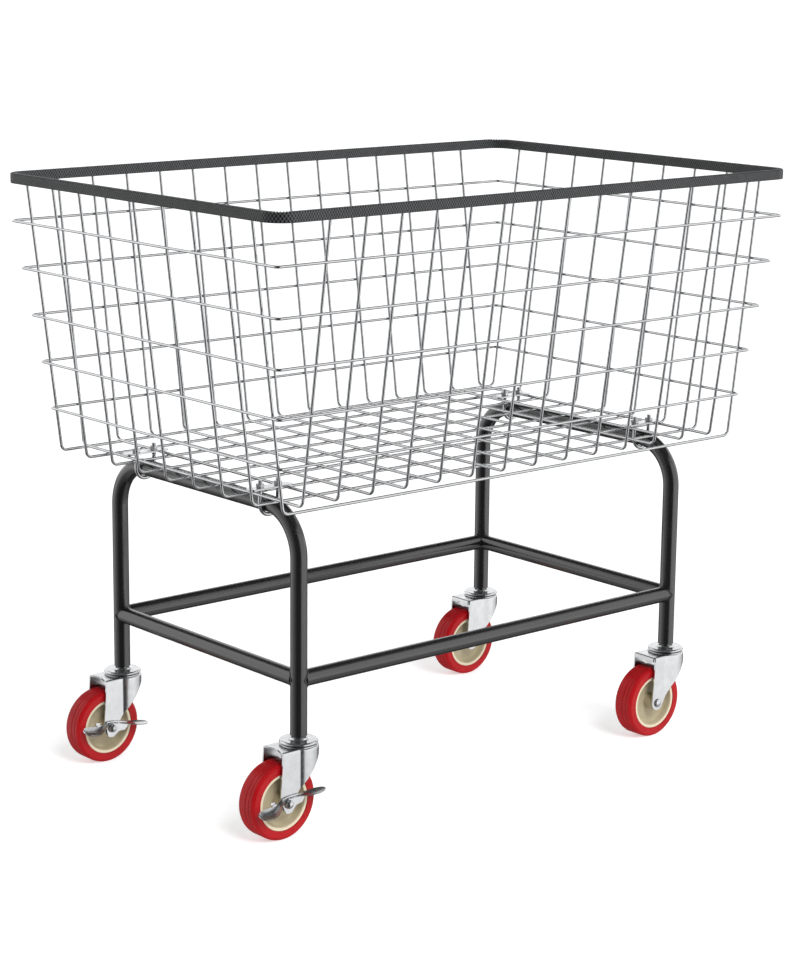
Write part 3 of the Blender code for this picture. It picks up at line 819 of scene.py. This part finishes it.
def fork_faces(plan, edge, wall_top):
    """Rows of the outer and the inner face, from the lower edge over the rolled shoulder."""
    columns, wall_rows, arc_rows = 64, 14, 6
    bottoms = resample(edge, columns)
    split_s = plan.length_at(-0.0180)
    split = next(j for j, p in enumerate(bottoms) if p.x >= split_s)
    first, tail_s = bottoms[split].x, plan.length_at(FORK_TAIL_X)
    tops = []
    for j, p in enumerate(bottoms):
        s = p.x if j <= split else first + (tail_s - first) * (j - split) / (columns - split)
        tops.append(Vector((s, wall_top)))
    faces = []
    for inset, radius in ((0.0, FORK_BEND), (FORK_WALL, FORK_BEND - FORK_WALL)):
        rows = []
        for r in range(wall_rows + 1):
            line = [b.lerp(a, r / wall_rows) for b, a in zip(bottoms, tops)]
            rows.append(mirrored([plan.at(p.x, inset, p.y) for p in line]))
        for r in range(1, arc_rows + 1):
            a = math.pi / 2 * r / arc_rows
            move, z = inset + radius * (1 - math.cos(a)), wall_top + radius * math.sin(a)
            rows.append(mirrored([plan.at(p.x, move, z) for p in tops]))
        faces.append(rows)
    return faces


def mirrored(half):
    """From the tail on one side, round the nose, to the tail on the other."""
    return half[::-1] + [Vector((p.x, -p.y, p.z)) for p in half[1:]]


def strip(edit, low, high):
    """Quads between two rows of vertices."""
    for quad in zip(low, low[1:], high[1:], high):
        if len(set(quad)) == 4:
            edit.faces.new(quad)


def strips(edit, tops, unders):
    """Two faces of a plate, given by their rows, and the edges down their two sides."""
    for rows in (tops, unders):
        for low, high in zip(rows, rows[1:]):
            strip(edit, low, high)
    for c in (0, -1):
        strip(edit, [row[c] for row in tops], [row[c] for row in unders])


def fork_shape(braked, top_z, wheel_z, trail):
    """A stamped yoke about its kingpin: rolled shoulders, flat roof, tapering side plates."""
    plan = ForkPlan(0.002 if braked else 0.018)
    faces = fork_faces(plan, fork_edge(plan, wheel_z, trail), top_z - FORK_BEND)
    edit = bmesh.new()
    outer, inner = ([[edit.verts.new(p) for p in row] for row in rows] for rows in faces)
    strips(edit, outer, inner)
    strip(edit, outer[0], inner[0])
    across = 24
    rears = []
    for row in (outer[-1], inner[-1]):
        rear = [row[0]]
        for k in range(1, across):
            t = k / across
            hollow = 0.0045 * math.sin(math.pi * t) ** 2 if braked else 0.0
            rear.append(edit.verts.new(row[0].co.lerp(row[-1].co, t) + Vector((hollow, 0, 0))))
        rears.append(rear + [row[-1]])
    if braked:
        strip(edit, *rears)
    else:
        rear_flange(edit, *rears)
    holes = []
    for row, rear, z in ((outer[-1], rears[0], top_z), (inner[-1], rears[1], top_z - FORK_WALL)):
        hole = [edit.verts.new((x, y, z)) for x, y in circle(KINGPIN_HOLE_R, 24)]
        edges = []
        for verts in (row + rear[-2:0:-1], hole):
            for a, b in zip(verts, verts[1:] + verts[:1]):
                edges.append(edit.edges.get((a, b)) or edit.edges.new((a, b)))
        bmesh.ops.triangle_fill(edit, use_beauty=True, use_dissolve=False, edges=edges)
        holes.append(hole + hole[:1])
    strip(edit, *holes)
    bmesh.ops.recalc_face_normals(edit, faces=edit.faces)
    bevel_sharp(edit, 0.00035, 55)
    edit.verts.index_update()
    shape = Shape()
    shape.add([v.co.copy() for v in edit.verts], [[v.index for v in f.verts] for f in edit.faces])
    edit.free()
    return shape


def rear_flange(edit, top, under):
    """The plain fork's roof turns down behind, with a small half-round slot in its lip."""
    drop, steps = 0.0068, 5
    tops, unders = [top], [under]
    for rows, radius in ((tops, FORK_BEND), (unders, FORK_BEND - FORK_WALL)):
        roof_row = rows[0]
        for k in range(1, steps + 1):
            a = math.pi / 2 * k / steps
            shift = Vector((-radius * math.sin(a), 0, -radius * (1 - math.cos(a))))
            rows.append([edit.verts.new(p.co + shift) for p in roof_row])
        lip = []
        for p, q in zip(top, rows[-1]):
            slot = 0.0022 * math.exp(-((p.co.y / 0.0030) ** 4))
            lip.append(edit.verts.new((q.co.x, q.co.y, top[0].co.z - drop + slot)))
        rows.append(lip)
    strips(edit, tops, unders)
    strip(edit, tops[-1], unders[-1])


def moved(shape, place):
    return Shape().add([Vector(v) + place for v in shape.verts], shape.faces, shape.uvs)


def build_caster(corner, forks):
    braked = corner in BRAKED
    pivot = middle(f"caster_stem_{corner}")
    place = Vector((pivot.x, pivot.y, 0))
    roof_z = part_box(f"caster_fork_{corner}")[1].z - RACE_RISE
    fork = moved(forks[braked], place)
    race = [(0.0185, roof_z + RACE_RISE), (0.0230, roof_z + RACE_RISE), (0.0240, roof_z + 0.0008),
            (0.0243, roof_z - 0.0010), (0.0172, roof_z - 0.0010), (0.0176, roof_z + 0.0008)]
    lathe(fork, fillet(race, 0.0003, 3, closed=True), 64, place)
    piece(f"swivel_fork_{corner}", fork, ZINC, f"caster_fork_{corner}", "zinc", sharp=38)
    build_stem(corner, place, roof_z)
    axle = middle(f"caster_tyre_{corner}")
    build_wheel(corner, axle)
    build_axle(corner, axle, braked)
    if braked:
        build_lever(corner, axle)


def build_stem(corner, place, roof_z):
    """The stem in the leg, the upper race dish over the fork's, and the kingpin's foot."""
    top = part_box(f"caster_stem_{corner}")[1].z
    rim_z = roof_z + 0.0029
    profile = [
        (0.0, top), (0.0078, top), (0.0088, top - 0.0015),
        (0.0088, 0.1297), (0.0074, 0.1286), (0.0074, rim_z + 0.0062), (0.0092, rim_z + 0.0060),
        (0.0108, rim_z + 0.0057), (0.0124, rim_z + 0.0036), (0.0150, rim_z + 0.0032),
        (0.0200, rim_z + 0.0030), (0.0226, rim_z + 0.0031), (0.0240, rim_z + 0.0028),
        (0.0249, rim_z + 0.0018), (0.0253, rim_z + 0.0006), (0.0251, rim_z - 0.0003),
        (0.0241, rim_z - 0.0002), (0.0238, rim_z + 0.0006), (0.0230, rim_z + 0.0008),
        (0.0058, rim_z + 0.0008), (0.0058, roof_z - 0.0029), (0.0092, roof_z - 0.0029),
        (0.0092, roof_z - 0.0055), (0.0080, roof_z - 0.0066), (0.0, roof_z - 0.0070),
    ]
    shape = Shape()
    lathe(shape, fillet(profile, 0.0004, 3), 64, place)
    piece(f"swivel_stem_{corner}", shape, ZINC, f"caster_stem_{corner}", "zinc", sharp=45)


def build_wheel(corner, axle):
    low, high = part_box(f"caster_tyre_{corner}")
    radius, half = (high.z - low.z) / 2, (high.y - low.y) / 2
    bore = 0.0380
    tread = [
        (bore, half - 0.0004), (bore + 0.0004, half), (radius - 0.0036, half),
        (radius - 0.0004, half - 0.0030), (radius, half - 0.0046),
        (radius, 0.0079), (radius - 0.0007, 0.0072), (radius, 0.0065),
        (radius, 0.0008), (radius - 0.0009, 0.0), (radius, -0.0008),
    ]
    lower = [(r, -h) for r, h in reversed(tread[:5])]
    profile = tread + lower
    radii = [0, 0.0003, 0.0020, 0.0020, 0.002, 0.0001, 0, 0.0001, 0.0001, 0, 0.0001,
             0.002, 0.0020, 0.0020, 0.0003, 0]
    shape = Shape()
    lathe(shape, fillet(profile, radii, 4, closed=True), 128, axle, "Y")
    piece(f"wheel_tyre_{corner}", shape, TYRE, f"caster_tyre_{corner}", "tyre", sharp=50)

    boss_half = 0.0187
    upper = [
        (0.0052, boss_half), (0.0092, boss_half), (0.0104, boss_half - 0.0010), (0.0116, 0.0046),
        (0.0300, 0.0046), (0.0318, 0.0070), (0.0336, half - 0.0016), (0.0344, half - 0.0008),
        (0.0376, half - 0.0008), (0.0380, half - 0.0014),
    ]
    profile = upper + [(r, -h) for r, h in reversed(upper)]
    radii = [0.0003, 0.0006, 0.0006, 0.0015, 0.0020, 0.0010, 0.0006, 0.0005, 0.0004, 0.0002]
    radii = radii + radii[::-1]
    shape = Shape()
    lathe(shape, fillet(profile, radii, 4, closed=True), 128, axle, "Y")
    piece(f"wheel_hub_{corner}", shape, HUB, f"caster_hub_{corner}", "hub", sharp=50)


def build_axle(corner, axle, braked):
    low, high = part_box(f"caster_axle_{corner}")
    near, far = axle.y - low.y, high.y - axle.y
    head = AXLE_HEAD_R
    seat = 0.0243 if braked else 0.0218
    shape = Shape()
    dome = near - seat
    tip = [(0.0, near)]
    for k in range(1, 9):
        a = math.pi / 2 * k / 8
        tip.append((head * math.sin(a) * 0.96, seat + 0.0006 + (dome - 0.0006) * math.cos(a)))
    back = [(0.0, -far)]
    for k in range(1, 7):
        a = math.pi / 2 * k / 6
        back.append((head * math.sin(a), -0.0222 - (far - 0.0222) * math.cos(a)))
    profile = tip + [(head, seat), (AXLE_R, seat), (AXLE_R, -0.0218), (head, -0.0218)]
    profile += list(reversed(back))
    lathe(shape, profile, 48, axle, "Y")
    piece(f"wheel_axle_{corner}", shape, ZINC, f"caster_axle_{corner}", "zinc", sharp=45)


LEVER_TILT = {"back_left": 8.5, "front_left": -4.0}

# the rocker's folded strip along its length, millimetres from the axle:
# x, inner edge (outwards, up), outer edge (outwards, up), hollow, lip (+ up, - down)
STRIP = [
    (-48.4, 26.6, -1.0, 28.2, -2.0, 0.0, 0.3),
    (-47.2, 24.6, 1.0, 31.0, -3.6, 0.3, 1.0),
    (-44.0, 23.0, 2.1, 33.4, -5.0, 0.8, 1.8),
    (-38.0, 22.5, 2.6, 34.6, -5.9, 1.3, 2.2),
    (-30.0, 22.4, 2.7, 34.8, -5.9, 1.5, 2.2),
    (-24.0, 22.4, 2.9, 33.4, -4.6, 1.4, 2.0),
    (-18.0, 22.4, 3.4, 30.8, -1.8, 1.0, 1.6),
    (-14.0, 22.4, 4.8, 28.6, 1.2, 0.6, 1.0),
    (-11.0, 22.4, 7.0, 27.0, 3.8, 0.3, 0.5),
    (-7.0, 22.3, 8.9, 25.8, 6.6, 0.0, 0.2),
    (0.0, 22.1, 9.6, 25.0, 8.0, 0.0, 0.0),
    (8.0, 22.1, 9.4, 25.0, 7.8, 0.0, 0.0),
    (14.0, 22.2, 9.2, 25.8, 7.2, 0.1, -0.4),
    (20.0, 22.3, 9.0, 27.6, 7.0, 0.3, -1.2),
    (26.0, 22.4, 9.0, 30.4, 6.8, 0.5, -1.8),
    (32.0, 22.6, 9.1, 33.4, 6.8, 0.6, -1.8),
    (38.0, 22.8, 9.2, 35.8, 7.0, 0.7, -1.3),
    (44.0, 23.2, 9.2, 36.4, 7.2, 0.7, -1.0),
    (50.0, 24.4, 9.0, 34.8, 7.4, 0.5, -0.8),
    (54.2, 26.0, 8.6, 32.4, 7.6, 0.3, -0.6),
    (56.4, 28.2, 8.1, 29.8, 7.9, 0.0, -0.3),
]
# the crown plate's outline round the axle, millimetres (x, up)
CROWN = [
    (-9.5, 8.6), (-9.0, 1.0), (-6.5, -6.5), (-4.5, -11.2), (-1.5, -13.0), (4.5, -12.6),
    (8.0, -9.0), (12.6, -4.6), (17.0, -3.8), (22.0, -3.4), (26.0, 1.5), (26.0, 8.4),
    (16.0, 9.2), (4.0, 9.9),
]


def spline(table, steps):
    """The rows of a table with smooth rows between them."""
    rows = [np.array(row, float) for row in table]
    out = []
    for i in range(len(rows) - 1):
        a, b = rows[max(i - 1, 0)], rows[i]
        c, d = rows[i + 1], rows[min(i + 2, len(rows) - 1)]
        for k in range(steps):
            t = k / steps
            out.append(0.5 * (
                2 * b + (c - a) * t + (2 * a - 5 * b + 4 * c - d) * t**2
                + (3 * b - a - 3 * c + d) * t**3
            ))
    return out + [rows[-1]]


def strip_section(row, thick):
    """One section of the strip: a closed loop of (outwards, up)."""
    _, inner_out, inner_up, outer_out, outer_up, hollow, lip = row
    start, end = Vector((inner_out, inner_up)), Vector((outer_out, outer_up))
    down = (end - start).orthogonal().normalized()
    if down.y > 0:
        down = -down
    count = 10
    line = []
    for k in range(count + 1):
        t = k / count
        line.append(start.lerp(end, t) + down * (hollow * math.sin(math.pi * t)))
    ahead = (line[-1] - line[-2]).normalized()
    rise = Vector((0.25, math.copysign(1.0, lip))).normalized()
    steps = 5
    length = max(abs(lip), 0.05)
    for k in range(1, steps + 1):
        heading = ahead.lerp(rise, k / steps).normalized()
        line.append(line[-1] + heading * (length / steps))
    under = []
    for k, p in enumerate(line):
        step = (line[min(k + 1, len(line) - 1)] - line[max(k - 1, 0)]).normalized()
        normal = Vector((step.y, -step.x))
        under.append(p + normal * thick)
    return line + under[::-1]


def build_lever(corner, axle):
    """A pressed rocker: a crown plate round the axle under a strip folded into two pedals."""
    tilt = Matrix.Rotation(math.radians(LEVER_TILT[corner]), 3, "Y")
    shape = Shape()
    rows = []
    for row in spline(STRIP, 4):
        rows.append([(row[0], -out, up) for out, up in strip_section(row, 1.5)])
    shape.grid(rows, close_cols=True)
    outline = fillet([(x, z) for x, z in CROWN], 2.0, 4, closed=True)
    plate = [[(p.x, -out, p.y) for p in outline] for out in (21.9, 22.3, 24.0, 24.3)]
    shape.grid(plate, close_cols=True)
    tab = [(22.6, 3.4), (20.6, 2.4), (19.0, 2.6), (18.2, 4.2), (18.0, 6.4)]
    tab = [Vector(p) for p in tab]
    sections = []
    for k, p in enumerate(tab):
        step = (tab[min(k + 1, 4)] - tab[max(k - 1, 0)]).normalized()
        side = Vector((step.y, -step.x)) * 0.7
        sections.append([
            (x, -q.x, q.y) for x, q in
            ((-23.5, p + side), (-16.5, p + side), (-16.5, p - side), (-23.5, p - side))
        ])
    shape.grid(sections, close_cols=True)
    out = Shape().add([axle + tilt @ (Vector(v) * 0.001) for v in shape.verts], shape.faces)
    piece(f"brake_lever_plate_{corner}", out, ZINC, f"brake_lever_{corner}", "zinc",
          sharp=40, bevel=(0.0003, 50))


# ---------------------------------------------------------------- studio
YAW, PITCH, ROLL = (math.radians(a) for a in (-39.962, 12.687, 0.422))

# light round the cart: degrees to the right of the camera, radiance above the horizon,
# radiance below it, highest elevation
ROUND = [
    (-180, 1.3, 0.15, 30), (-134, 1.4, 0.20, 30), (-128, 1.3, 0.8, 47), (-106, 1.35, 1.35, 47),
    (-66, 0.65, 0.65, 47), (-38, 0.22, 0.22, 47), (-24, 0.03, 0.03, 47), (33, 0.02, 0.02, 47),
    (37, 1.3, 1.45, 47), (80, 1.25, 1.5, 47), (128, 1.2, 0.8, 47), (134, 1.3, 0.15, 30),
    (180, 1.3, 0.15, 30),
]
BRIGHTEST = 1.6
# how much of that is left far below the horizon: (elevation / 180 + 0.5, share)
LOW_DOWN = [(0.0, 0.30), (0.30, 0.32), (0.36, 0.50), (0.42, 1.0)]


BACKDROP = 1.2  # radiance the camera sees behind the cart
CEILING = 0.05
LAMP, LAMP_FROM, LAMP_OVER = 0.40, 64, 12  # radiance overhead, from an elevation, over degrees
HORIZON_FADE, TOP_FADE = 6, 4  # degrees
FLOOR_REACH = 0.76
KEY_ENERGY, KEY_WIDTH = 2.2, math.radians(28)
CAMERA_PLACE = (-2.2535, -2.6115, 1.1483)
CAMERA_LENS, CAMERA_SHIFT = 93.45, (0.0361, -0.0025)


def build_world():
    """Bright walls either side, a dark ceiling and a dark stretch on the camera's side."""
    world = bpy.data.worlds.new("studio")
    bpy.context.scene.world = world
    world.use_nodes = True
    n = Tree(world.node_tree)
    split = n.new("ShaderNodeSeparateXYZ")
    n.feed(split.inputs[0], n.new("ShaderNodeTexCoord").outputs["Generated"])
    x, y, z = split.outputs
    ahead_x, ahead_y = -math.sin(YAW), math.cos(YAW)
    towards = n.math("MULTIPLY_ADD", x, -ahead_x, n.math("MULTIPLY", y, -ahead_y))
    right = n.math("MULTIPLY_ADD", x, ahead_y, n.math("MULTIPLY", y, -ahead_x))
    turn = n.math("ARCTAN2", right, towards)
    around = n.math("MULTIPLY_ADD", turn, 1 / (2 * math.pi), 0.5)
    high, low, limit = (
        n.ramp(around, [((row[0] + 180) / 360, row[k] / full) for row in ROUND])
        for k, full in ((1, BRIGHTEST), (2, BRIGHTEST), (3, 90))
    )
    height = n.math("MULTIPLY", n.math("ARCSINE", z), 2 / math.pi)
    share = n.clamp(n.math("MULTIPLY_ADD", height, 90 / HORIZON_FADE, 1.0))
    level = n.math("MULTIPLY_ADD", n.math("SUBTRACT", high, low), share, low)
    mask = n.clamp(n.math("MULTIPLY", n.math("SUBTRACT", limit, height), 90 / TOP_FADE))
    sunk = n.ramp(n.math("MULTIPLY_ADD", height, 0.5, 0.5), LOW_DOWN)
    walls = n.math("MULTIPLY", n.math("MULTIPLY", level, mask), sunk)
    walls = n.math("MULTIPLY", walls, BRIGHTEST)
    top = n.clamp(n.math("MULTIPLY_ADD", height, 90 / LAMP_OVER, -LAMP_FROM / LAMP_OVER))
    studio = n.math("ADD", walls, n.math("MULTIPLY_ADD", top, LAMP, CEILING))
    seen = n.new("ShaderNodeLightPath").outputs["Is Camera Ray"]
    strength = n.math("MULTIPLY_ADD", seen, n.math("SUBTRACT", BACKDROP, studio), studio)
    background = n.tree.nodes["Background"]
    background.inputs["Color"].default_value = (1.0, 1.0, 1.0, 1.0)
    n.feed(background.inputs["Strength"], strength)


def build_studio():
    floor = Shape()
    sides = 96
    floor.add([(x, y, 0) for x, y in circle(FLOOR_REACH, sides)], [tuple(range(sides))])
    mesh = make_mesh("studio_floor", floor)
    mesh.materials.append(studio_white())
    obj = bpy.data.objects.new("studio_floor", mesh)
    obj.visible_glossy = False
    bpy.context.scene.collection.objects.link(obj)
    build_world()
    build_key_light()
    bpy.context.scene.view_settings.view_transform = "Standard"


def build_key_light():
    """A broad soft lamp high on the camera's right, out of sight of the bright metal."""
    lamp = bpy.data.lights.new("key", "SUN")
    lamp.energy = KEY_ENERGY
    lamp.angle = KEY_WIDTH
    obj = bpy.data.objects.new("key", lamp)
    ahead = Vector((-math.sin(YAW), math.cos(YAW), 0))
    right = Vector((math.cos(YAW), math.sin(YAW), 0))
    towards = ahead * 0.9 - right * 0.55 - UP * 1.0
    obj.rotation_mode = "QUATERNION"
    obj.rotation_quaternion = towards.to_track_quat("-Z", "Y")
    obj.visible_glossy = False
    bpy.context.scene.collection.objects.link(obj)


def build_camera():
    level = math.cos(PITCH)
    ahead = Vector((-math.sin(YAW) * level, math.cos(YAW) * level, -math.sin(PITCH)))
    right = Vector((math.cos(YAW), math.sin(YAW), 0))
    up = right.cross(ahead)
    x_axis = right * math.cos(ROLL) + up * math.sin(ROLL)
    y_axis = up * math.cos(ROLL) - right * math.sin(ROLL)
    data = bpy.data.cameras.new("camera")
    data.lens = CAMERA_LENS
    data.sensor_width = 36.0
    data.shift_x, data.shift_y = CAMERA_SHIFT
    data.clip_end = 200.0
    obj = bpy.data.objects.new("camera", data)
    rotation = Matrix((x_axis, y_axis, -ahead)).transposed()
    obj.matrix_world = Matrix.Translation(CAMERA_PLACE) @ rotation.to_4x4()
    bpy.context.scene.collection.objects.link(obj)
    bpy.context.scene.camera = obj


# ---------------------------------------------------------------- assembly
build_camera()
build_studio()
build_basket()
build_rim()
build_frames()
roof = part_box("caster_fork_front_left")[1].z - RACE_RISE
wheel_centre = middle("caster_tyre_front_left")
trail = middle("caster_stem_front_left").x - wheel_centre.x
FORKS = {kind: fork_shape(kind, roof, wheel_centre.z, trail) for kind in (True, False)}
for corner_name in CORNERS:
    build_u_bolt(corner_name)
    build_caster(corner_name, FORKS)
